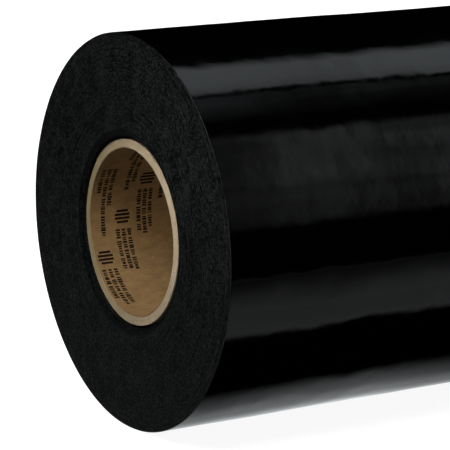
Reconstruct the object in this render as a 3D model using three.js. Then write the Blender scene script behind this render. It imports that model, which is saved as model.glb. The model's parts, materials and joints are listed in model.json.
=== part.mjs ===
// A roll of sign vinyl, lying on its side: a paperboard core of spirally wound plies, a long
// web of black film, adhesive and release liner wound on it, and the free end of that web.
// The free end lifts off the roll, its film peels off its liner, and a strip of tape holds it.
//
// Millimetres. +X runs along the roll and +Z is up. The origin is under the middle of the
// roll, on the surface that it lies on. Angles round the axis start at +Y and grow towards +Z.
import * as THREE from "three";

// ---- driving dimensions ----
const WEB_WIDTH = 609.6;
const ROLL_RADIUS = 90.5; // at the web's cut end
const BORE_RADIUS = 38.1;
const CORE_RECESS = 2; // the core's ends lie this far inside the web's

const FILM = 0.05;
const ADHESIVE = 0.02;
const LINER = 0.14;
const LAYER_GAP = 0.005; // between the layers of the free end, and under them
const WRAP = FILM + ADHESIVE + LINER + 3 * LAYER_GAP; // one wrap of the web

const SKIN_PLY = 0.35; // the core's first and last plies
const BODY_PLY = 0.81; // each ply between them
const BODY_PLIES = 4;
const GLUE_LINE = 0.02;
const FACETS_ROUND_CORE = 60;
const PLY_TURNS = 6; // turns of the first ply's strip, from tip to tip
const PLY_SEAM = 0.4; // the open joint between its neighbouring turns
const PLY_TIP = 3; // the width left at its cut tips

const FACETS_ROUND_WEB = 90;
const DISH_WIDTH = 4.2; // the first wraps, whose ends slope back to the core
const WRAPS_GAP = 0.05; // between them and the rest of the web

const TAIL_END = 184; // degrees: where the web's cut end lies
const TAIL_SEGMENTS = 4;
const SEGMENT_ARC = 16; // degrees of the free end, between one bend and the next
const BEND_GAP = 0.2; // along the surface, past each bend

const START_TAPE_AT = 40; // degrees: on the core, under the web's inner end
const START_TAPE_WIDTH = 25;
const START_TAPE = 0.1;

const TAPE_WIDTH = 48; // along the roll
const TAPE_ARC = 12; // degrees, on each side of the cut end
const TAPE = 0.06;

// ---- what follows from them ----
const WEB_END = WEB_WIDTH / 2;
const CORE_END = WEB_END - CORE_RECESS;
const CORE_STEP = 360 / FACETS_ROUND_CORE; // degrees
const WEB_STEP = 360 / FACETS_ROUND_WEB;
const TAIL_ROOT = TAIL_END - TAIL_SEGMENTS * SEGMENT_ARC;

const radians = THREE.MathUtils.degToRad;
const onAxis = (radius, angle) => [radius * Math.cos(radians(angle)), radius * Math.sin(radians(angle))];

// The radius of the web's outside. It grows by one wrap in each turn up to the cut end.
const outside = (angle) => ROLL_RADIUS - (WRAP * (TAIL_END - angle)) / 360;

const bodyPlyInner = (ply) => BORE_RADIUS + SKIN_PLY + GLUE_LINE + ply * (BODY_PLY + GLUE_LINE);
const LAST_PLY_INNER = bodyPlyInner(BODY_PLIES);
const CORE_RADIUS = LAST_PLY_INNER + SKIN_PLY;

// The flats of the first wraps clear the corners of the start tape on the core.
const WEB_INNER = (CORE_RADIUS + START_TAPE + 2 * GLUE_LINE) / Math.cos(radians(WEB_STEP / 2));
const DISH_OUTER = WEB_INNER + DISH_WIDTH;

// The roll lies on the facet whose middle is straight below the axis.
const LOWEST = -90;
const AXIS_HEIGHT = outside(LOWEST) * Math.cos(radians(WEB_STEP / 2));

// ---- shapes ----

// A ring about the roll's axis, from a closed profile of [radius, x] corners.
function ring(corners, facets) {
  const profile = [...corners, corners[0]].map(([radius, x]) => new THREE.Vector2(radius, x));
  const turned = new THREE.LatheGeometry(profile, facets);
  return turned.rotateZ(-Math.PI / 2);
}

// A plain tube as long as the core.
const coreTube = (inner, outer) =>
  ring(
    [
      [inner, -CORE_END],
      [outer, -CORE_END],
      [outer, CORE_END],
      [inner, CORE_END],
    ],
    FACETS_ROUND_CORE,
  );

// A sheet bent round the roll's axis, in a number of flat steps. place(across, through,
// along) gives [x, radius, angle]; each of the three runs from 0 to 1.
function bentSheet(steps, place) {
  const geometry = new THREE.BoxGeometry(1, 1, 1, 1, 1, steps).translate(0.5, 0.5, 0.5);
  const position = geometry.attributes.position;
  for (let i = 0; i < position.count; i++) {
    const [x, radius, angle] = place(position.getX(i), position.getY(i), position.getZ(i));
    position.setXYZ(i, x, ...onAxis(radius, angle));
  }
  geometry.computeVertexNormals();
  return geometry;
}

// A sheet that lies on a face of the wound web, from one facet corner to another. gap keeps
// it off a bend at its start, and base gives the radius of the face that it lies on.
function layer(start, arc, gap, base, thickness, width) {
  const shift = THREE.MathUtils.radToDeg(gap / ROLL_RADIUS);
  return bentSheet(arc / WEB_STEP, (across, through, along) => {
    const angle = Math.max(start + along * arc, start + shift);
    return [(across - 0.5) * width, base(angle) + through * thickness, angle];
  });
}

// ---- the core ----

// The first ply: one strip wound from end to end with an open joint between its turns, and
// cut off square at both ends of the core.
function helicalPly() {
  const cut = (x) => THREE.MathUtils.clamp(x, -CORE_END, CORE_END);
  const pitch = (2 * CORE_END - PLY_SEAM - 2 * PLY_TIP) / (PLY_TURNS - 1);
  const stripWidth = pitch - PLY_SEAM;
  return bentSheet(PLY_TURNS * FACETS_ROUND_CORE, (across, through, along) => {
    const turn = along * PLY_TURNS;
    const leading = PLY_TIP - CORE_END + pitch * turn;
    const x = cut(leading - (1 - across) * stripWidth);
    return [x, BORE_RADIUS + through * SKIN_PLY, 360 * turn];
  });
}

// ---- the wound web ----

// Its first wraps, drawn in towards the core at both ends.
const firstWraps = () =>
  ring(
    [
      [WEB_INNER, -CORE_END],
      [DISH_OUTER, -WEB_END],
      [DISH_OUTER, WEB_END],
      [WEB_INNER, CORE_END],
    ],
    FACETS_ROUND_WEB,
  );

// All its other wraps, with a seat one wrap deep under the free end.
function woundWeb() {
  const outline = [];
  for (let angle = TAIL_END - 360; angle < TAIL_END; angle += WEB_STEP) {
    if (angle <= TAIL_ROOT) outline.push(onAxis(outside(angle), angle));
    if (angle >= TAIL_ROOT) outline.push(onAxis(outside(angle) - WRAP, angle));
  }
  const inside = [];
  for (let angle = TAIL_END; angle > TAIL_END - 360; angle -= WEB_STEP) {
    inside.push(onAxis(DISH_OUTER + WRAPS_GAP, angle));
  }
  const toVector = ([y, z]) => new THREE.Vector2(y, z);
  const section = new THREE.Shape(outline.map(toVector));
  section.holes.push(new THREE.Path(inside.map(toVector)));
  const geometry = new THREE.ExtrudeGeometry(section, { depth: WEB_WIDTH, bevelEnabled: false });
  geometry.translate(0, 0, -WEB_END);
  return geometry.rotateX(Math.PI / 2).rotateZ(Math.PI / 2);
}

// The double-faced tape that fixes the web's inner end to the core.
function startTape() {
  const arc = THREE.MathUtils.radToDeg(START_TAPE_WIDTH / CORE_RADIUS);
  const steps = Math.round(arc / CORE_STEP);
  const firstCorner = Math.round(START_TAPE_AT / CORE_STEP) * CORE_STEP;
  return bentSheet(steps, (across, through, along) => [
    (across * 2 - 1) * CORE_END,
    CORE_RADIUS + GLUE_LINE + through * START_TAPE,
    firstCorner + along * steps * CORE_STEP,
  ]);
}

// ---- the free end of the web, and its strip of tape ----

// One layer of one segment. depth is how far its outer face lies below the web's outside.
function tailLayer(segment, depth, thickness) {
  const root = TAIL_ROOT + segment * SEGMENT_ARC;
  const base = (angle) => outside(angle) - depth - thickness;
  return layer(root, SEGMENT_ARC, BEND_GAP, base, thickness, WEB_WIDTH);
}

const tapeOnFilm = () =>
  layer(TAIL_END - TAPE_ARC, TAPE_ARC, 0, (angle) => outside(angle) + LAYER_GAP, TAPE, TAPE_WIDTH);

// The other half lies on the wrap below.
function tapeOnWrap() {
  const base = (angle) => outside(angle - 360) + LAYER_GAP;
  return layer(TAIL_END, TAPE_ARC, BEND_GAP, base, TAPE, TAPE_WIDTH);
}

// ---- materials ----
const finish = (color, roughness) =>
  new THREE.MeshStandardMaterial({ color, roughness, metalness: 0 });
const innerKraft = finish(0x8a6a45, 0.8);
const board = finish(0xb39a72, 0.85);
const blackFilm = finish(0x050505, 0.08);
const adhesive = finish(0x2b2c2e, 0.3);
const linerPaper = finish(0x3c3d40, 0.45);
const doubleTape = finish(0xd8cfa8, 0.5);
const clearTape = finish(0xc9d6dd, 0.25);

// ---- the assembly ----
const roll = new THREE.Group();
roll.position.z = AXIS_HEIGHT;

function add(name, geometry, material) {
  const mesh = new THREE.Mesh(geometry, material);
  mesh.name = name;
  roll.add(mesh);
}

add("core_inner_ply", helicalPly(), innerKraft);
for (let ply = 0; ply < BODY_PLIES; ply++) {
  const inner = bodyPlyInner(ply);
  add(`core_body_ply_${ply + 1}`, coreTube(inner, inner + BODY_PLY), board);
}
add("core_outer_ply", coreTube(LAST_PLY_INNER, CORE_RADIUS), board);
add("start_tape", startTape(), doubleTape);
add("first_wraps", firstWraps(), blackFilm);
add("wound_web", woundWeb(), blackFilm);

const adhesiveDepth = FILM + LAYER_GAP;
const linerDepth = adhesiveDepth + ADHESIVE + LAYER_GAP;
for (let segment = 0; segment < TAIL_SEGMENTS; segment++) {
  const number = segment + 1;
  add(`tail_liner_${number}`, tailLayer(segment, linerDepth, LINER), linerPaper);
  add(`tail_adhesive_${number}`, tailLayer(segment, adhesiveDepth, ADHESIVE), adhesive);
  add(`tail_film_${number}`, tailLayer(segment, 0, FILM), blackFilm);
}
add("tape_on_film", tapeOnFilm(), clearTape);
add("tape_on_wrap", tapeOnWrap(), clearTape);

export default roll;
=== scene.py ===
"""The looks of a roll of black sign vinyl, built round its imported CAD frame.

Metres. The roll's axis runs along X. Angles are in degrees about that axis, from +Y towards
+Z, and grow along the web: a turn before the cut end the web is one wrap further in.
"""

import json
import math

import bpy
import numpy as np
from mathutils import Matrix, Vector


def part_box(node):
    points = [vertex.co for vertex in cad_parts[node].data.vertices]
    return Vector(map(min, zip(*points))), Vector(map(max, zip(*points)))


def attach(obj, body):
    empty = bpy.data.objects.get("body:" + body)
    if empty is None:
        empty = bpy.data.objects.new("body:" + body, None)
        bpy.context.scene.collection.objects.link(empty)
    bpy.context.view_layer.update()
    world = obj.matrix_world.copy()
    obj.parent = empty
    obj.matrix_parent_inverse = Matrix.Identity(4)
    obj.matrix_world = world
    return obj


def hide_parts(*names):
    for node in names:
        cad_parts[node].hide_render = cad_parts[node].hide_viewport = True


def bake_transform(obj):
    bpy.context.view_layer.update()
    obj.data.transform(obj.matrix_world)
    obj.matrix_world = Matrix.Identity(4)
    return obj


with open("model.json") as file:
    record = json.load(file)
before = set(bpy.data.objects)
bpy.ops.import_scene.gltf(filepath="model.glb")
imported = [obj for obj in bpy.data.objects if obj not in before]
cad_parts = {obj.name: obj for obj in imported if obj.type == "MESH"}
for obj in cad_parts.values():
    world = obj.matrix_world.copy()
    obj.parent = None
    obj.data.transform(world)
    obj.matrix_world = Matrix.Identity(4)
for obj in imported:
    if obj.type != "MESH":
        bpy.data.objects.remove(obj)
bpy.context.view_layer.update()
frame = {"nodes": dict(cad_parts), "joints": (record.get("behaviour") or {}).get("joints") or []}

# ---- sizes ----
MM = 0.001
FILM = 0.05 * MM
ADHESIVE = 0.02 * MM
LINER = 0.14 * MM
LAYER_GAP = 0.005 * MM
WRAP = FILM + ADHESIVE + LINER + 3 * LAYER_GAP
SHEET = FILM + ADHESIVE + LINER  # a wrap's three layers as one
TAPE = 0.06 * MM
SKIN_PLY = 0.35 * MM
BODY_PLY = 0.81 * MM
PLY_SEAM = 0.4 * MM
PLY_TIP = 3 * MM
PLY_TURNS = 6
PLY_START = 100  # the angle where the printed ply begins, at the near end
KRAFT_TRIM = 0.25 * MM  # how far the printed ply stops short of the core's ends
CORE_BEVEL = 0.04  # how far the core's cut end leans back, for each unit outwards
SAWN_FUZZ = 0.05 * MM  # how rough that end is
PLY_ARRIS = 0.07 * MM  # how far each ply's worn edges lie below its middle there
INK = 0.012 * MM  # how far the print stands off its ply
START_TAPE_ROOM = 0.15 * MM  # between the core and the first wrap
GROOVE = 1.7 * MM  # the extra depth of the very first wraps' ends, next to the core
LEDGE_GAP = 0.01 * MM  # inside and outside each wrap, at the web's ends
END_PLAY = 0.3 * MM  # how far wraps stand out of line there
DEEPEST_WAVE = 0.5 * MM  # how far the film dips below a true round
WAVES_REACH = 12 * MM  # how deep into the web the film's waves go on
EDGE_ROUND = 0.22 * MM
INSIDE_BOX = 0.06 * MM  # keeps round surfaces inside the faceted CAD ones

JOINTS = {joint["name"]: joint for joint in frame["joints"]}


def half_height(node):
    low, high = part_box(node)
    return (high.z - low.z) / 2


core_low, core_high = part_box("core_outer_ply")
AXIS_HEIGHT = (core_low.z + core_high.z) / 2
CORE_END = core_high.x
WEB_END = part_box("wound_web")[1].x
HALF_WEB = WEB_END - END_PLAY
CORE_RADIUS = half_height("core_outer_ply")
BORE_RADIUS = half_height("core_inner_ply") - SKIN_PLY
DISH_RADIUS = half_height("first_wraps")


def hinge_place(joint):
    """The radius and angle of a hinge line about the roll's axis."""
    _, y, z = JOINTS[joint]["pos_m"]
    height = z - AXIS_HEIGHT
    return math.hypot(y, height), math.degrees(math.atan2(height, y)) % 360


CUT_RADIUS, CUT_ANGLE = hinge_place("tape_fold")
BENDS = [hinge_place(f"tail_lift_{number}")[1] for number in (1, 2, 3, 4)]
SEGMENT = BENDS[1] - BENDS[0]


# ---- the shape of the wound film ----

def make_waves():
    """Waves in the film, as (turns round the roll, radians per metre along it, phase, height)."""
    draw = np.random.default_rng(11)
    waves = []
    families = ((0.09, 0.26, 0.0042, 7), (0.03, 0.07, 0.0032, 10), (0.014, 0.026, 0.0026, 14))
    for shortest, longest, slope, count in families:
        for _ in range(count):
            length = draw.uniform(shortest, longest)
            heading = draw.uniform(0, math.pi)
            turns = round(2 * math.pi * CUT_RADIUS / length * math.cos(heading))
            along = 2 * math.pi / length * math.sin(heading)
            steepness = math.hypot(turns / CUT_RADIUS, along)
            waves.append((turns, along, draw.uniform(0, 2 * math.pi), slope / steepness))
    return waves


WAVES = make_waves()


def dip(angle, x):
    """How far the film lies below a true round, from 0 to DEEPEST_WAVE."""
    turn = np.radians(angle)
    total = 0
    for turns, along, phase, height in WAVES:
        total = total + height * np.sin(turns * turn + along * x + phase)
    half = DEEPEST_WAVE / 2
    return half + half * np.tanh(total / half)


def edge_drop(x):
    """The round-over along the web's two edges."""
    past = np.clip((np.abs(x) - (HALF_WEB - EDGE_ROUND)) / EDGE_ROUND, 0, 1)
    return EDGE_ROUND * (1 - np.sqrt(1 - 0.96 * past**2))


def film_radius(angle, x):
    """The radius of the web's gloss face, at an angle up to its cut end."""
    spiral = CUT_RADIUS - WRAP * (CUT_ANGLE - angle) / 360 - INSIDE_BOX
    return spiral - dip(angle, x) - edge_drop(x)


def on_roll(x, radius, angle):
    turn = np.radians(angle)
    return np.stack([x, radius * np.cos(turn), AXIS_HEIGHT + radius * np.sin(turn)], axis=-1)


# ---- mesh helpers ----

def new_object(name, points, faces, materials, face_material=None):
    """A mesh object in the scene. points may be a grid of any shape, row by row."""
    mesh = bpy.data.meshes.new(name)
    mesh.from_pydata(points.reshape(-1, 3).tolist(), [], faces.tolist())
    for material in materials:
        mesh.materials.append(material)
    if face_material is not None:
        mesh.polygons.foreach_set("material_index", face_material)
    piece = bpy.data.objects.new(name, mesh)
    bpy.context.scene.collection.objects.link(piece)
    return piece


def grid_quads(index):
    """Quads of a grid of vertex numbers, turned so that rows times columns faces out."""
    corners = index[:-1, :-1], index[1:, :-1], index[1:, 1:], index[:-1, 1:]
    return np.stack([corner.ravel() for corner in corners], axis=1)


def set_uv(piece, values):
    """values holds one (u, v) for each vertex."""
    layer = piece.data.uv_layers.new(name="metres")
    corner = np.zeros(len(piece.data.loops), int)
    piece.data.loops.foreach_get("vertex_index", corner)
    layer.data.foreach_set("uv", values[corner].astype(np.float32).ravel())


def bent_sheet(name, angles, xs, radius, thickness, materials):
    """A thin closed sheet bent round the axis.

    angles and xs are grids of the same shape, rows running round the roll and columns along
    it. radius(angle, x) is that of the outer face. The first material is for the two broad
    faces and the last for the edges. The broad faces are shaded by their true slope, so that
    sheets that meet end to end show no seam in their gloss.
    """
    outer = on_roll(xs, radius(angles, xs), angles)
    inner = on_roll(xs, radius(angles, xs) - thickness, angles)
    step_angle, step_x = 0.02, 0.02 * MM
    round_way = on_roll(xs, radius(angles + step_angle, xs), angles + step_angle) - on_roll(
        xs, radius(angles - step_angle, xs), angles - step_angle
    )
    along = on_roll(xs + step_x, radius(angles, xs + step_x), angles) - on_roll(
        xs - step_x, radius(angles, xs - step_x), angles
    )
    slope = np.cross(round_way, along)
    slope /= np.linalg.norm(slope, axis=-1, keepdims=True)

    rows, columns = angles.shape
    top = np.arange(rows * columns).reshape(rows, columns)
    under = top + rows * columns
    faces = [
        grid_quads(top),
        grid_quads(under)[:, ::-1],
        grid_quads(np.stack([top[0], under[0]])),
        grid_quads(np.stack([under[-1], top[-1]])),
        grid_quads(np.stack([under[:, 0], top[:, 0]])),
        grid_quads(np.stack([top[:, -1], under[:, -1]])),
    ]
    points = np.concatenate([outer.reshape(-1, 3), inner.reshape(-1, 3)])
    broad = len(faces[0]) + len(faces[1])
    faces = np.concatenate(faces)
    face_material = np.zeros(len(faces), np.int32)
    face_material[broad:] = len(materials) - 1
    piece = new_object(name, points, faces, materials, face_material)

    arc = np.radians(angles) * CUT_RADIUS
    flat = np.stack([arc, xs], axis=-1).reshape(-1, 2)
    set_uv(piece, np.concatenate([flat, flat]))

    smooth = np.arange(len(faces)) < broad
    piece.data.polygons.foreach_set("use_smooth", smooth)
    normals = np.concatenate([slope.reshape(-1, 3), -slope.reshape(-1, 3)])[faces]
    piece.data.normals_split_custom_set(normals.reshape(-1, 3).tolist())
    return piece


def web_grid(start, end):
    """A row each degree and a column each 2 mm, with columns close together at both edges."""
    angle = np.linspace(start, end, max(2, round(end - start) + 1))
    inside = HALF_WEB - 1.5 * EDGE_ROUND
    edge = HALF_WEB - EDGE_ROUND * np.array([0, 0.08, 0.3, 0.65, 1.0])
    middle = np.linspace(-inside, inside, round(2 * inside / (2 * MM)))
    x = np.concatenate([-edge, middle, edge[::-1]])
    return np.meshgrid(angle, x, indexing="ij")


def ringed_body(name, angles, left, right, look, closed):
    """A body between two end faces made of rings.

    left and right hold (x, radius) for each ring, from the innermost out, and each angle. An
    open body stops at its first and last angle, where it has flat faces.
    """
    points = []
    for end in (left, right):
        points.append(on_roll(end[..., 0], end[..., 1], angles[None, :]))
    rings, columns = left.shape[:2]
    first = np.arange(rings * columns).reshape(rings, columns)
    if closed:
        first = np.concatenate([first, first[:, :1]], axis=1)
    second = first + rings * columns
    faces = [
        grid_quads(first.T),
        grid_quads(second),
        grid_quads(np.stack([second[-1], first[-1]])),
        grid_quads(np.stack([first[0], second[0]])),
    ]
    if not closed:
        faces.append(grid_quads(np.stack([first[:, 0], second[:, 0]], axis=1)))
        faces.append(grid_quads(np.stack([second[:, -1], first[:, -1]], axis=1)))
    return new_object(name, np.stack(points), np.concatenate(faces), [look])


# ---- materials ----

class Look:
    """A material with a Principled shader, and short ways to add nodes to it."""

    def __init__(self, name, colour, roughness, specular=0.5):
        self.material = bpy.data.materials.new(name)
        self.material.use_nodes = True
        self.tree = self.material.node_tree
        self.shader = self.tree.nodes["Principled BSDF"]
        self.shader.inputs["Base Color"].default_value = (*colour, 1)
        self.shader.inputs["Roughness"].default_value = roughness
        self.shader.inputs["Specular IOR Level"].default_value = specular

    def node(self, kind, settings=None, **inputs):
        """A node of that kind. An input is a value, or an output of another node.

        Inputs go by name, with _ for a space, or by number, as in _0.
        """
        made = self.tree.nodes.new("ShaderNode" + kind)
        for key, value in (settings or {}).items():
            setattr(made, key, value)
        for key, value in inputs.items():
            socket = made.inputs[int(key[1:]) if key[0] == "_" else key.replace("_", " ")]
            self.feed(socket, value)
        return made

    def feed(self, socket, value):
        """Link value to socket if it is an output of a node, and set it otherwise."""
        if isinstance(value, bpy.types.NodeSocket):
            self.tree.links.new(value, socket)
        else:
            socket.default_value = value

    def place(self, kind="Object", scale=(1, 1, 1)):
        """Coordinates in metres, stretched by scale."""
        source = self.node("TexCoord").outputs[kind]
        return self.node("Mapping", Vector=source, Scale=scale).outputs[0]

    def wrap_lines(self, thickness):
        """Noise from 0 to 1 that depends only on the distance from the roll's axis."""
        axis = (0, 0, AXIS_HEIGHT)
        away = self.node("VectorMath", {"operation": "SUBTRACT"}, _0=self.place(), _1=axis)
        flat = self.node("VectorMath", {"operation": "MULTIPLY"}, _0=away.outputs[0], _1=(0, 1, 1))
        radius = self.node("VectorMath", {"operation": "LENGTH"}, _0=flat.outputs[0])
        made = self.node("TexNoise", {"noise_dimensions": "1D"}, W=radius.outputs["Value"],
                         Scale=1 / thickness, Detail=2)
        return made.outputs["Fac"]

    def noise(self, where, size, detail=3, roughness=0.55, distortion=0.0):
        """Noise from 0 to 1 whose features are about size metres across."""
        made = self.node("TexNoise", Vector=where, Scale=1 / size, Detail=detail,
                         Roughness=roughness, Distortion=distortion)
        return made.outputs["Fac"]

    def math(self, operation, a, b):
        return self.node("Math", {"operation": operation}, _0=a, _1=b).outputs[0]

    def mix(self, *parts):
        """The sum of parts, which are (value, weight) pairs."""
        total, *others = (self.math("MULTIPLY", value, weight) for value, weight in parts)
        for other in others:
            total = self.math("ADD", total, other)
        return total

    def spread(self, value, low, high, to_low=0, to_high=1):
        """value from low to high, carried over to the range to_low to to_high."""
        return self.node("MapRange", Value=value, From_Min=low, From_Max=high,
                         To_Min=to_low, To_Max=to_high).outputs[0]

    def blend(self, share, a, b):
        """Colour a where share is 0 and b where it is 1."""
        made = self.node("Mix", {"data_type": "RGBA"}, Factor=share)
        for number, colour in ((6, a), (7, b)):
            self.feed(made.inputs[number], (*colour, 1) if isinstance(colour, tuple) else colour)
        return made.outputs[2]

    def paint(self, share, a, b):
        """Base colour a where share is 0 and b where it is 1."""
        self.set("Base Color", self.blend(share, a, b))

    def set(self, name, value):
        self.tree.links.new(value, self.shader.inputs[name])

    def bump(self, height, depth, strength=1.0):
        """height runs from 0 to 1, and depth is in metres."""
        made = self.node("Bump", Height=height, Distance=depth, Strength=strength)
        self.set("Normal", made.outputs[0])


def film_look():
    """Gloss black vinyl: faint smudges, orange peel, and small ripples."""
    look = Look("gloss_black_film", (0.0003, 0.0003, 0.00035), 0.07)
    place = look.place("UV")
    smudge = look.noise(place, 28 * MM, 4, 0.6, 0.8)
    haze = look.noise(look.place("UV", (0.15, 1, 1)), 5 * MM, 3)
    look.set("Roughness", look.spread(look.math("MULTIPLY", smudge, haze), 0.12, 0.42, 0.04, 0.13))
    ripple = look.noise(place, 10 * MM, 2, 0.4)
    peel = look.noise(place, 1.6 * MM, 2, 0.4)
    look.bump(look.mix((ripple, 0.96), (peel, 0.04)), 0.08 * MM)
    return look.material


def web_end_look(name, shade):
    """The web's slit edges: charcoal, matt and fuzzy, with a grain of pressed-out adhesive. shade
    scales the brightest colour down, to paint shade on wraps that sit in a recess.
    """
    look = Look(name, (0.006, 0.0068, 0.0064), 0.7, 0.05)
    place = look.place()
    grain = look.noise(place, 0.95 * MM, 3, 0.75)
    patches = look.noise(place, 9 * MM, 3)
    mixed = look.mix((grain, 0.72), (patches, 0.13), (look.wrap_lines(0.6 * MM), 0.15))
    brightest = (0.0255 * shade, 0.028 * shade, 0.0265 * shade)
    look.paint(look.spread(mixed, 0.465, 0.59), (0.0005, 0.0006, 0.0006), brightest)
    look.set("Roughness", look.spread(grain, 0.3, 0.7, 0.6, 0.85))
    look.bump(grain, 0.12 * MM, 0.8)
    return look.material


def cut_edge_look():
    """The edges of the outermost layers, freshly cut, and coloured lighter than the layers they
    cut through: a painted highlight along the web's rim and the cut end.
    """
    look = Look("cut_layer_edges_painted_highlight", (0.05, 0.05, 0.048), 0.5, 0.4)
    nicks_and_glints = look.noise(look.place(), 2.5 * MM, 3, 0.7)
    # Painted highlight: the edge colour rises in patches well above that of the film, adhesive and
    # liner.
    look.paint(look.spread(nicks_and_glints, 0.4, 0.7), (0.012, 0.0125, 0.012), (0.085, 0.087, 0.084))
    return look.material


def liner_look():
    """The release liner: charcoal paper with a satin silicone coat."""
    look = Look("charcoal_release_liner", (0.03, 0.031, 0.034), 0.42)
    fibres = look.noise(look.place("UV", (0.35, 1, 1)), 0.8 * MM, 4, 0.65)
    cloud = look.noise(look.place("UV"), 12 * MM, 3)
    share = look.mix((fibres, 0.5), (cloud, 0.5))
    look.paint(share, (0.022, 0.0225, 0.025), (0.043, 0.044, 0.047))
    look.set("Roughness", look.spread(fibres, 0.3, 0.7, 0.34, 0.5))
    look.bump(fibres, 0.008 * MM)
    return look.material


def adhesive_look():
    """Clear adhesive on the film's back, which looks almost as black as the film."""
    look = Look("clear_adhesive", (0.008, 0.008, 0.009), 0.22)
    grain = look.noise(look.place("UV"), 0.9 * MM, 3)
    look.set("Roughness", look.spread(grain, 0.3, 0.7, 0.14, 0.34))
    look.paint(grain, (0.006, 0.006, 0.007), (0.014, 0.0145, 0.016))
    look.bump(grain, 0.006 * MM)
    return look.material


def kraft_look():
    """The core's first ply: brown kraft paper with long fibres, darker flecks and scuffs."""
    look = Look("kraft_inner_ply", (0.22, 0.13, 0.065), 0.78, 0.3)
    place = look.place("UV")
    fibres = look.noise(look.place("UV", (0.3, 1, 1)), 0.7 * MM, 5, 0.7)
    cloud = look.noise(place, 7 * MM, 4, 0.6)
    share = look.spread(look.mix((fibres, 0.55), (cloud, 0.45)), 0.34, 0.66)
    paper = look.blend(share, (0.145, 0.083, 0.031), (0.260, 0.160, 0.067))
    flecks = look.spread(look.noise(place, 1.1 * MM, 2), 0.66, 0.78, 0, 0.6)
    look.paint(flecks, paper, (0.12, 0.07, 0.032))
    look.bump(fibres, 0.05 * MM, 0.6)
    return look.material


def board_look():
    """The core's cut end: pressed board in fine layers, with painted shade that darkens it towards
    +Y.
    """
    look = Look("core_board", (0.44, 0.36, 0.24), 0.88, 0.1)
    place = look.place()
    layers = look.wrap_lines(0.22 * MM)
    fuzz = look.noise(place, 0.5 * MM, 4, 0.7)
    cloud = look.noise(place, 6 * MM, 3)
    share = look.spread(look.mix((layers, 0.35), (fuzz, 0.4), (cloud, 0.25)), 0.36, 0.64)
    lit_board = look.blend(share, (0.47, 0.362, 0.228), (0.72, 0.58, 0.405))
    # Painted shade: a darker copy of the board's colours, laid on more and more towards +Y.
    shaded_board = look.blend(share, (0.235, 0.18, 0.088), (0.37, 0.292, 0.16))
    across = look.node("SeparateXYZ", Vector=place).outputs["Y"]
    look.paint(look.spread(across, -0.75 * CORE_RADIUS, 0.9 * CORE_RADIUS), lit_board, shaded_board)
    look.bump(share, 0.12 * MM, 0.7)
    return look.material


def ink_look():
    look = Look("black_print", (0.012, 0.008, 0.005), 0.8, 0.1)
    worn = look.spread(look.noise(look.place(), 0.35 * MM, 3, 0.7), 0.6, 0.8)
    look.paint(worn, (0.008, 0.0055, 0.0035), (0.1, 0.06, 0.03))
    return look.material


def start_tape_look():
    look = Look("double_faced_tape", (0.2, 0.17, 0.11), 0.55, 0.2)
    grain = look.noise(look.place(), 1.2 * MM, 4)
    look.paint(grain, (0.15, 0.125, 0.08), (0.25, 0.215, 0.145))
    look.bump(grain, 0.02 * MM)
    return look.material


def clear_tape_look():
    """Clear packing tape, streaked along its strip, with a few bubbles under it."""
    look = Look("clear_tape", (0.55, 0.58, 0.6), 0.16)
    streak = look.noise(look.place("UV", (1, 0.1, 1)), 1.5 * MM, 3)
    bubble = look.spread(look.noise(look.place("UV"), 2.2 * MM, 2), 0.62, 0.7, 0, 0.25)
    look.set("Roughness", look.spread(streak, 0.3, 0.7, 0.1, 0.26))
    look.set("Alpha", look.math("ADD", look.spread(streak, 0.3, 0.7, 0.1, 0.17), bubble))
    look.bump(streak, 0.01 * MM)
    return look.material


FILM_LOOK = film_look()
END_LOOK = web_end_look("slit_web_end", 1)
# Painted shade: the sunken first wraps by the core get the web end's colours at half brightness,
# where shadow falls in the recess.
SHADED_SUNKEN_LOOK = web_end_look("sunken_web_end_painted_shade", 0.5)
EDGE_LOOK = cut_edge_look()
LINER_LOOK = liner_look()
ADHESIVE_LOOK = adhesive_look()
KRAFT_LOOK = kraft_look()
BOARD_LOOK = board_look()
INK_LOOK = ink_look()
TAPE_LOOK = clear_tape_look()


# ---- the camera ----

def add_camera():
    """Looks down at the near end from the front left; the roll runs out of the frame."""
    azimuth, elevation = math.radians(-31.09), math.radians(11.89)
    distance, aim_right, aim_up = 1.1794, 43.9 * MM, 3.6 * MM
    level = math.cos(elevation)
    back = Vector((math.sin(azimuth) * level, -math.cos(azimuth) * level, math.sin(elevation)))
    right = Vector((math.cos(azimuth), math.sin(azimuth), 0))
    up = back.cross(right)
    near_face = Vector((-HALF_WEB, 0, AXIS_HEIGHT))
    camera = bpy.data.objects.new("camera", bpy.data.cameras.new("camera"))
    camera.data.sensor_width = 36
    camera.data.lens = 210.4
    camera.data.clip_end = 50
    turn = Matrix((right, up, back)).transposed()
    place = near_face + back * distance + right * aim_right + up * aim_up
    camera.matrix_world = Matrix.Translation(place) @ turn.to_4x4()
    bpy.context.scene.collection.objects.link(camera)
    bpy.context.scene.camera = camera
    return place


EYE = add_camera()


# ---- the core ----

def helical_ply():
    """The printed strip inside the core, wound from end to end, cut square at both ends."""
    pitch = (2 * CORE_END - PLY_SEAM - 2 * PLY_TIP) / (PLY_TURNS - 1)
    turn = np.linspace(0, PLY_TURNS, PLY_TURNS * 120 + 1)
    leading = PLY_TIP - CORE_END + pitch * turn
    ragged = 1 + 0.3 * np.sin(97 * turn) * np.sin(31 * turn + 1)
    trimmed = CORE_END - KRAFT_TRIM * ragged
    low = np.clip(leading - pitch + PLY_SEAM, -trimmed, trimmed)
    high = np.clip(leading, -trimmed, trimmed)
    share = np.linspace(0, 1, 25)
    xs = low[:, None] + (high - low)[:, None] * share
    angles = np.repeat(PLY_START + 360 * turn[:, None], len(share), axis=1)

    def radius(angle, x):
        return BORE_RADIUS + SKIN_PLY + 0 * angle

    piece = bent_sheet("core_kraft_ply", angles, xs, radius, SKIN_PLY, [KRAFT_LOOK, BOARD_LOOK])
    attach(piece, "roll")
    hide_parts("core_inner_ply")


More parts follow.
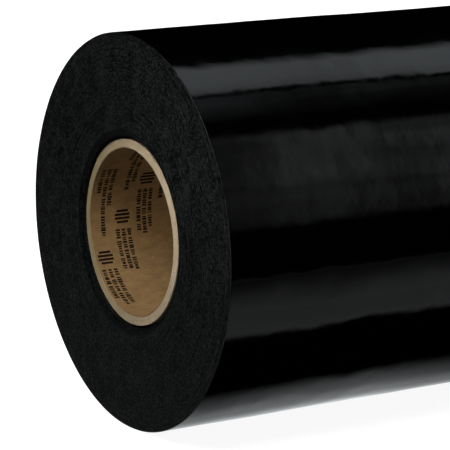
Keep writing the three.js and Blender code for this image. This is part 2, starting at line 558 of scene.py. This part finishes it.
def board_ply(node, inner, outer, seed):
    """One of the core's plies, with a rough sawn end that leans back towards its outside."""
    draw = np.random.default_rng(seed)
    angles = np.linspace(0, 360, 241)[:-1]
    rings = np.linspace(inner, outer, 5)
    ends = []
    for side in (-1, 1):
        radius = np.repeat(rings[:, None], len(angles), axis=1)
        back = CORE_BEVEL * (radius - BORE_RADIUS)
        back += SAWN_FUZZ * np.abs(draw.normal(size=back.shape))
        back[[0, -1]] += PLY_ARRIS
        ends.append(np.stack([side * (CORE_END - back), radius], axis=-1))
    piece = ringed_body(node + "_board", angles, *ends, BOARD_LOOK, closed=True)
    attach(piece, "roll")
    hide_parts(node)


def board_plies():
    for number in (1, 2, 3, 4):
        node = f"core_body_ply_{number}"
        outer = half_height(node)
        board_ply(node, outer - BODY_PLY, outer, 20 + number)
    board_ply("core_outer_ply", CORE_RADIUS - SKIN_PLY, CORE_RADIUS, 25)


class Print:
    """Bars of ink on the inside of the core, gathered into one piece."""

    def __init__(self):
        self.points = []
        self.faces = []

    def bar(self, x, angle, length, width):
        """A bar along the roll, length by width in metres, with its middle at that place."""
        half = math.degrees(width / 2 / BORE_RADIUS)
        start = len(self.points)
        for lift in (0.002 * MM, INK):
            for side in (angle + half, angle - half):
                for end in (x - length / 2, x + length / 2):
                    self.points.append(on_roll(end, BORE_RADIUS - lift, side))
        lanes = start + np.arange(8).reshape(4, 2)[[0, 1, 3, 2, 0]]
        self.faces.extend(grid_quads(lanes).tolist())
        self.faces.append([int(lanes[row, 0]) for row in (3, 2, 1, 0)])
        self.faces.append([int(lanes[row, -1]) for row in (0, 1, 2, 3)])

    def row(self, x, angle, length, draw):
        """A row of small ticks in groups, which runs down the bore from that place."""
        end = angle - length
        while angle > end:
            for _ in range(draw.integers(3, 9)):
                thick = draw.uniform(0.6, 1.15) * MM
                tall = draw.uniform(1.6, 2.5) * MM
                self.bar(x, angle, tall, thick)
                angle -= math.degrees(thick / BORE_RADIUS) + 0.45
            angle -= 1.1

    def barred_disc(self, x, angle):
        """A plain round mark made of parallel bars."""
        radius, pitch, width = 4.0 * MM, 1.75 * MM, 1.15 * MM
        for across in pitch * np.array([-1.5, -0.5, 0.5, 1.5]):
            beside = angle + math.degrees(across / BORE_RADIUS)
            self.bar(x, beside, 2 * math.sqrt(radius**2 - across**2), width)


# Each block of rows by a disc: how far it lies from the disc along the roll and in angle, and
# the length in degrees of each of its rows, the nearest to the near end first.
PRINT_BLOCKS = (
    (0.2 * MM, -9.5, (27, 25, 23)),
    (1.2 * MM, 66, (18, 44, 30)),
)


def core_print():
    """Discs and rows of generic marks that climb the bore along the lean of its first ply."""
    draw = np.random.default_rng(5)
    marks = Print()
    step_x, step_angle = 11.4 * MM, 27.5
    first_x, first_angle = 5.4 * MM - CORE_END, -29
    line_gap, margin = 3.0 * MM, 1.5 * MM
    for step in range(int(2 * CORE_END / step_x) - 1):
        x = first_x + step * step_x
        angle = first_angle + step * step_angle
        marks.barred_disc(x, angle)
        for beside, above, lengths in PRINT_BLOCKS:
            for line, length in zip((-1, 0, 1), lengths):
                at = x + beside + line * line_gap
                if at - margin > -CORE_END:
                    marks.row(at, angle + above, length, draw)
    piece = new_object("core_print", np.array(marks.points), np.array(marks.faces), [INK_LOOK])
    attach(piece, "roll")


# ---- the wound web ----

def wrap_shifts(count):
    """How far each wrap stands out of line along the roll: slow drift, groups and jitter."""
    draw = np.random.default_rng(3)
    drift = np.cumsum(draw.normal(size=count))
    drift -= np.linspace(drift[0], drift[-1], count)
    drift *= 0.35 / np.abs(drift).max()
    groups = np.repeat(draw.uniform(-0.3, 0.3, count // 7 + 1), 7)[:count]
    return END_PLAY * 0.8 * (drift + groups * 0.3 + draw.uniform(-0.5, 0.5, count))


def wrap_stack(name, node, first, last, base, shifts, recess, look):
    """Wraps first to last of the web as one body, each wrap's edge a ledge of its own.

    recess(radius) is how far the wraps lie below the web's ends. A ring set in from both
    ends and below the last wrap's deepest wave keeps the body clear of the film.
    """
    angles = np.linspace(BENDS[0], BENDS[0] + 360, 181)
    turn = (angles - BENDS[0]) / 360
    rings = []
    for wrap in range(first, last):
        shift = shifts[wrap] + (shifts[wrap + 1] - shifts[wrap]) * turn
        rings.append((base + WRAP * (wrap + turn) + LEDGE_GAP, shift))
        rings.append((base + WRAP * (wrap + 1 + turn) - LEDGE_GAP, shift))
    radius = np.array([ring[0] for ring in rings])
    shift = np.array([ring[1] for ring in rings])
    wavy = np.clip((radius - CUT_RADIUS + WAVES_REACH) / WAVES_REACH, 0, 1) ** 2
    ends = []
    for side in (-1, 1):
        x = side * (HALF_WEB - recess(radius)) + shift
        end = np.stack([x, radius - wavy * dip(angles[None, :], x)], axis=-1)
        under_film = end[-1] - np.array([side * 1.5 * MM, DEEPEST_WAVE])
        ends.append(np.concatenate([end, under_film[None]]))
    piece = ringed_body(name, angles, *ends, look, closed=False)
    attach(piece, "roll")
    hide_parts(node)


def wound_web():
    """Every wrap but the last: the dished first ones, and the rest with flat ends."""
    in_place = (CUT_ANGLE + 360 - BENDS[0]) / 360
    under_last_wrap = CUT_RADIUS - WRAP * in_place - INSIDE_BOX - WRAP
    count = int((under_last_wrap - CORE_RADIUS - START_TAPE_ROOM) / WRAP)
    base = under_last_wrap - count * WRAP
    dished = round((DISH_RADIUS - base) / WRAP)
    shifts = wrap_shifts(count + 2)

    def dish(radius):
        share = np.clip((DISH_RADIUS - radius) / (DISH_RADIUS - base), 0, 1)
        groove = np.clip((share - 0.66) / 0.12, 0, 1)
        return (WEB_END - CORE_END) * share**0.8 + GROOVE * groove

    def flat(radius):
        return 0 * radius

    steadier = shifts * 0.7
    wrap_stack("first_wraps_dished", "first_wraps", 0, dished, base, steadier, dish, SHADED_SUNKEN_LOOK)
    wrap_stack("wound_wraps", "wound_web", dished, count, base, shifts, flat, END_LOOK)


def last_wrap():
    """The outermost full turn, which also lies under the free end. Its outside is the gloss."""
    angles, xs = web_grid(BENDS[0] - 360, BENDS[0])
    piece = bent_sheet("last_wrap", angles, xs, film_radius, SHEET, [FILM_LOOK, EDGE_LOOK])
    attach(piece, "roll")


# ---- the free end ----

def below_film(depth):
    """The radius of a layer that lies that far below the film's gloss face."""
    return lambda angle, x: film_radius(angle, x) - depth


LAYERS = {
    "film": (0, FILM, FILM_LOOK, "black_film"),
    "adhesive": (FILM + LAYER_GAP, ADHESIVE, ADHESIVE_LOOK, "adhesive"),
    "liner": (FILM + ADHESIVE + 2 * LAYER_GAP, LINER, LINER_LOOK, "release_liner"),
}


def bend_between(piece, body_a, body_b, start, end):
    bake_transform(piece)


def tail_piece(name, layer, start, end, bodies, nodes):
    """One layer of a stretch of the free end, attached to one body, or with its transform baked in
    where it spans two.
    """
    depth, thickness, look, slot = LAYERS[layer]
    angles, xs = web_grid(start, end)
    piece = bent_sheet(name, angles, xs, below_film(depth), thickness, [look, EDGE_LOOK])
    if len(bodies) == 1:
        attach(piece, *bodies)
    else:
        bend_between(piece, *bodies, start, end)
    for node in nodes:
        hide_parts(f"tail_{layer}_{node}")


def free_end():
    """The web past the last full wrap, in stretches laid over the CAD hinge lines."""
    half = SEGMENT / 2
    first, second, third, fourth = BENDS
    for number, start, end, bodies, nodes in (
        (1, first, first + half, ("roll", "tail_1"), [1]),
        (2, second - half, second + half, ("tail_1", "tail_2"), [2]),
        (3, third - half, third + half, ("tail_2", "tail_3"), [3]),
        (4, fourth - half, fourth, ("tail_3", "tail_4"), []),
    ):
        for layer in LAYERS:
            tail_piece(f"free_{layer}_{number}", layer, start, end, bodies, nodes)
    for layer in LAYERS:
        bodies = ("tail_4",) if layer == "liner" else ("tail_4", "film_tip")
        tail_piece(f"end_{layer}", layer, fourth, CUT_ANGLE, bodies, [4])


# ---- the tapes ----

def holding_tape():
    """Half of it lies on the film, and half steps down over the cut end to the wrap below."""
    low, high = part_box("tape_on_film")
    half_width = (high.x - low.x) / 2
    arc = math.degrees(math.asin((high.z - low.z) / CUT_RADIUS))
    step_arc = 1.1
    last = CUT_ANGLE + arc

    def over(angle, x):
        return film_radius(angle, x) + LAYER_GAP + TAPE

    def beyond(angle, x):
        down = np.clip((angle - CUT_ANGLE) / step_arc, 0, 1)
        above = film_radius(angle - 360, x) + WRAP * (1 - down * down * (3 - 2 * down))
        return above + LAYER_GAP + TAPE

    for name, node, start, end, radius, bend in (
        ("tape_half_on_film", "tape_on_film", CUT_ANGLE - arc, CUT_ANGLE, over,
         ("tail_4", "film_tip", BENDS[3], CUT_ANGLE)),
        ("tape_half_on_wrap", "tape_on_wrap", CUT_ANGLE, last, beyond,
         ("film_tip", "tape_end", CUT_ANGLE, last)),
    ):
        angle = np.linspace(start, end, 49)
        x = np.linspace(-half_width, half_width, 33)
        angles, xs = np.meshgrid(angle, x, indexing="ij")
        piece = bent_sheet(name, angles, xs, radius, TAPE, [TAPE_LOOK])
        bend_between(piece, *bend)
        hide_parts(node)


def dress_start_tape():
    """The tape between core and web stays as the CAD made it, with a look of its own."""
    materials = frame["nodes"]["start_tape"].data.materials
    materials.clear()
    materials.append(start_tape_look())


# ---- the studio ----

def floor_look():
    """White and self-lit, as on a light table, so that shadows stay pale."""
    look = Look("pale_floor", (0.35, 0.35, 0.35), 0.9, 0.0)
    cloud = look.noise(look.place(), 0.6, 2)
    look.paint(cloud, (0.34, 0.34, 0.34), (0.36, 0.36, 0.36))
    look.shader.inputs["Emission Color"].default_value = (1, 1, 1, 1)
    look.shader.inputs["Emission Strength"].default_value = 0.93
    return look.material


def floor():
    """A round floor, and a backdrop that rises from its edge. Neither shows in gloss."""
    look = floor_look()
    turn = np.radians(np.arange(0, 361, 5))
    for name, profile in (
        ("floor", [(0.001, 0), (3, 0), (8, 0)]),
        ("backdrop", [(8, 0), (8.6, 0.12), (9.1, 0.5), (9.4, 1.2), (9.6, 8)]),
    ):
        points = [[(r * math.cos(t), r * math.sin(t), z) for t in turn] for r, z in profile]
        index = np.arange(len(profile) * len(turn)).reshape(len(profile), len(turn))
        sweep = new_object(name, np.array(points), grid_quads(index), [look])
        sweep.visible_glossy = False
        sweep.visible_diffuse = False
        sweep.visible_shadow = name == "floor"


def soft_light(name, towards, distance, size, level, aim):
    """A round lamp that gives a white surface facing it the brightness level."""
    light = bpy.data.lights.new(name, "AREA")
    light.shape = "DISK"
    light.size = size
    light.energy = level * (math.pi * distance) ** 2
    lamp = bpy.data.objects.new(name, light)
    direction = Vector(towards).normalized()
    turn = direction.to_track_quat("Z", "Y").to_matrix().to_4x4()
    lamp.matrix_world = Matrix.Translation(Vector(aim) + direction * distance) @ turn
    lamp.visible_glossy = False
    lamp.visible_camera = False
    bpy.context.scene.collection.objects.link(lamp)


def reflected(angle, distance, x):
    """Where the camera sees the film at that angle reflect, that far from the roll."""
    normal = Vector((0, math.cos(math.radians(angle)), math.sin(math.radians(angle))))
    point = Vector((x, 0, AXIS_HEIGHT)) + normal * CUT_RADIUS
    bounce = (point - EYE).normalized().reflect(normal)
    return point + bounce * (distance / math.hypot(bounce.y, bounce.z))


def glow_look(name, colour, cloudy):
    """Light whose strength is painted on the mesh, broken up by soft clouds."""
    look = Look(name, colour, 1)
    level = look.node("Attribute", {"attribute_name": "level"}).outputs["Fac"]
    place = look.node("TexCoord").outputs["Object"]
    cloud = look.node("TexNoise", Vector=place, Scale=3.0, Detail=1.5, Distortion=0.7)
    share = look.spread(cloud.outputs["Fac"], 0.38, 0.62, 1 - cloudy)
    strength = look.math("MULTIPLY", level, share)
    glow = look.node("Emission", Color=(*colour, 1), Strength=strength)
    look.feed(look.tree.nodes["Material Output"].inputs["Surface"], glow.outputs[0])
    look.tree.nodes.remove(look.shader)
    return look.material


def reflector(name, profile, along=((0, 1), (1, 1)), cloudy=0.0, distance=1.5,
              colour=(0.95, 0.98, 1)):
    """A long panel beside the roll that only its gloss shows.

    profile lists (angle on the film where it shows, how bright), and along lists (distance
    from the near end where it shows, share of that brightness).
    """
    angles = [angle for angle, _ in profile]
    levels = [level for _, level in profile]
    near = -HALF_WEB
    facing_camera = 160
    left_end, right_end = -2.5, 4.5
    columns = [(left_end, along[0][1])]
    for place, share in along:
        columns.append((reflected(facing_camera, distance, near + place).x, share))
    columns.append((right_end, along[-1][1]))
    shares = [share for _, share in columns]
    points = []
    for angle in angles:
        at = reflected(angle, distance, near)
        points.append([(x, at.y, at.z) for x, _ in columns])
    index = np.arange(len(angles) * len(columns)).reshape(len(angles), len(columns))
    look = glow_look(name, colour, cloudy)
    panel = new_object(name, np.array(points), grid_quads(index), [look])
    attribute = panel.data.attributes.new("level", "FLOAT", "POINT")
    attribute.data.foreach_set("value", np.outer(levels, shares).astype(np.float32).ravel())
    panel.visible_camera = False
    panel.visible_diffuse = False
    panel.visible_shadow = False
    panel.visible_transmission = False


def reflectors():
    """The dim studio that the gloss shows: strip lights, a smoky wall and the table's far part."""
    cool = (0.9, 0.97, 1)
    reflector(
        "upper_panel",
        [(116, 0), (118.2, 0.36), (119.5, 0.62), (125, 0.7), (128.5, 0.6), (129.4, 0.02)],
        along=((0, 1.05), (0.05, 0.92), (0.065, 0.8), (0.09, 1), (0.15, 1)),
        colour=cool,
    )
    reflector(
        "echo_panel",
        [(130.3, 0), (130.8, 0.2), (133, 0.19), (135.5, 0.1), (139, 0)],
        along=((0, 1.2), (0.03, 0.8), (0.06, 0.4), (0.075, 1.1), (0.1, 0.8), (0.13, 0.5)),
        cloudy=0.5,
        colour=cool,
    )
    reflector(
        "broad_panel",
        [(142.5, 0), (144.5, 0.34), (150, 0.4), (160, 0.36), (168.5, 0.24), (170, 0)],
        along=((0, 0.42), (0.028, 0.6), (0.052, 1.08), (0.068, 1.02), (0.086, 0.45),
               (0.098, 0.45), (0.118, 1.05), (0.15, 0.95)),
        cloudy=0.4,
    )
    reflector(
        "lower_panel",
        [(182.6, 0), (183, 0.12), (183.4, 0.05), (186, 0.13), (188.5, 0.26),
         (192, 0.33), (199, 0.34), (200.5, 0)],
        cloudy=0.15,
    )
    reflector(
        "floor_panel",
        [(220.5, 0), (222.5, 0.07), (224.5, 0.17), (227, 0.25), (230, 0.31),
         (236, 0.54), (242, 0.78), (246, 0.98), (250, 1.15), (256, 1.45)],
        along=((0, 0.9), (0.03, 1.1), (0.08, 1.15), (0.11, 0.85), (0.14, 0.6)),
        cloudy=0.25,
        distance=0.9,
        colour=(0.94, 0.98, 1),
    )


def studio():
    """The floor, the lamps for matt surfaces, the panels for gloss, and a dim sky."""
    floor()
    near_end = (-HALF_WEB, 0, AXIS_HEIGHT)
    far_end = (HALF_WEB, 0, AXIS_HEIGHT)
    inside_core = (40 * MM - HALF_WEB, 0, AXIS_HEIGHT)
    soft_light("key", (-0.48, -0.36, 0.8), 0.58, 0.4, 1.08, near_end)
    soft_light("overhead", (0.1, -0.2, 1), 2.6, 2.2, 0.35, (0, 0, 0))
    soft_light("core_fill", (1, 0, 0), 80 * MM, 55 * MM, 0.47, inside_core)
    soft_light("back_fill", (0.62, 0.6, 0.5), 2.0, 0.8, 0.8, far_end)
    reflectors()
    world = bpy.data.worlds.new("studio")
    bpy.context.scene.world = world
    world.use_nodes = True
    background = world.node_tree.nodes["Background"]
    background.inputs["Color"].default_value = (0.93, 0.96, 1, 1)
    background.inputs["Strength"].default_value = 0.12
    world.cycles_visibility.glossy = False
    bpy.context.scene.view_settings.view_transform = "Standard"


# ---- the whole object ----

helical_ply()
board_plies()
core_print()
wound_web()
last_wrap()
free_end()
holding_tape()
dress_start_tape()
studio()
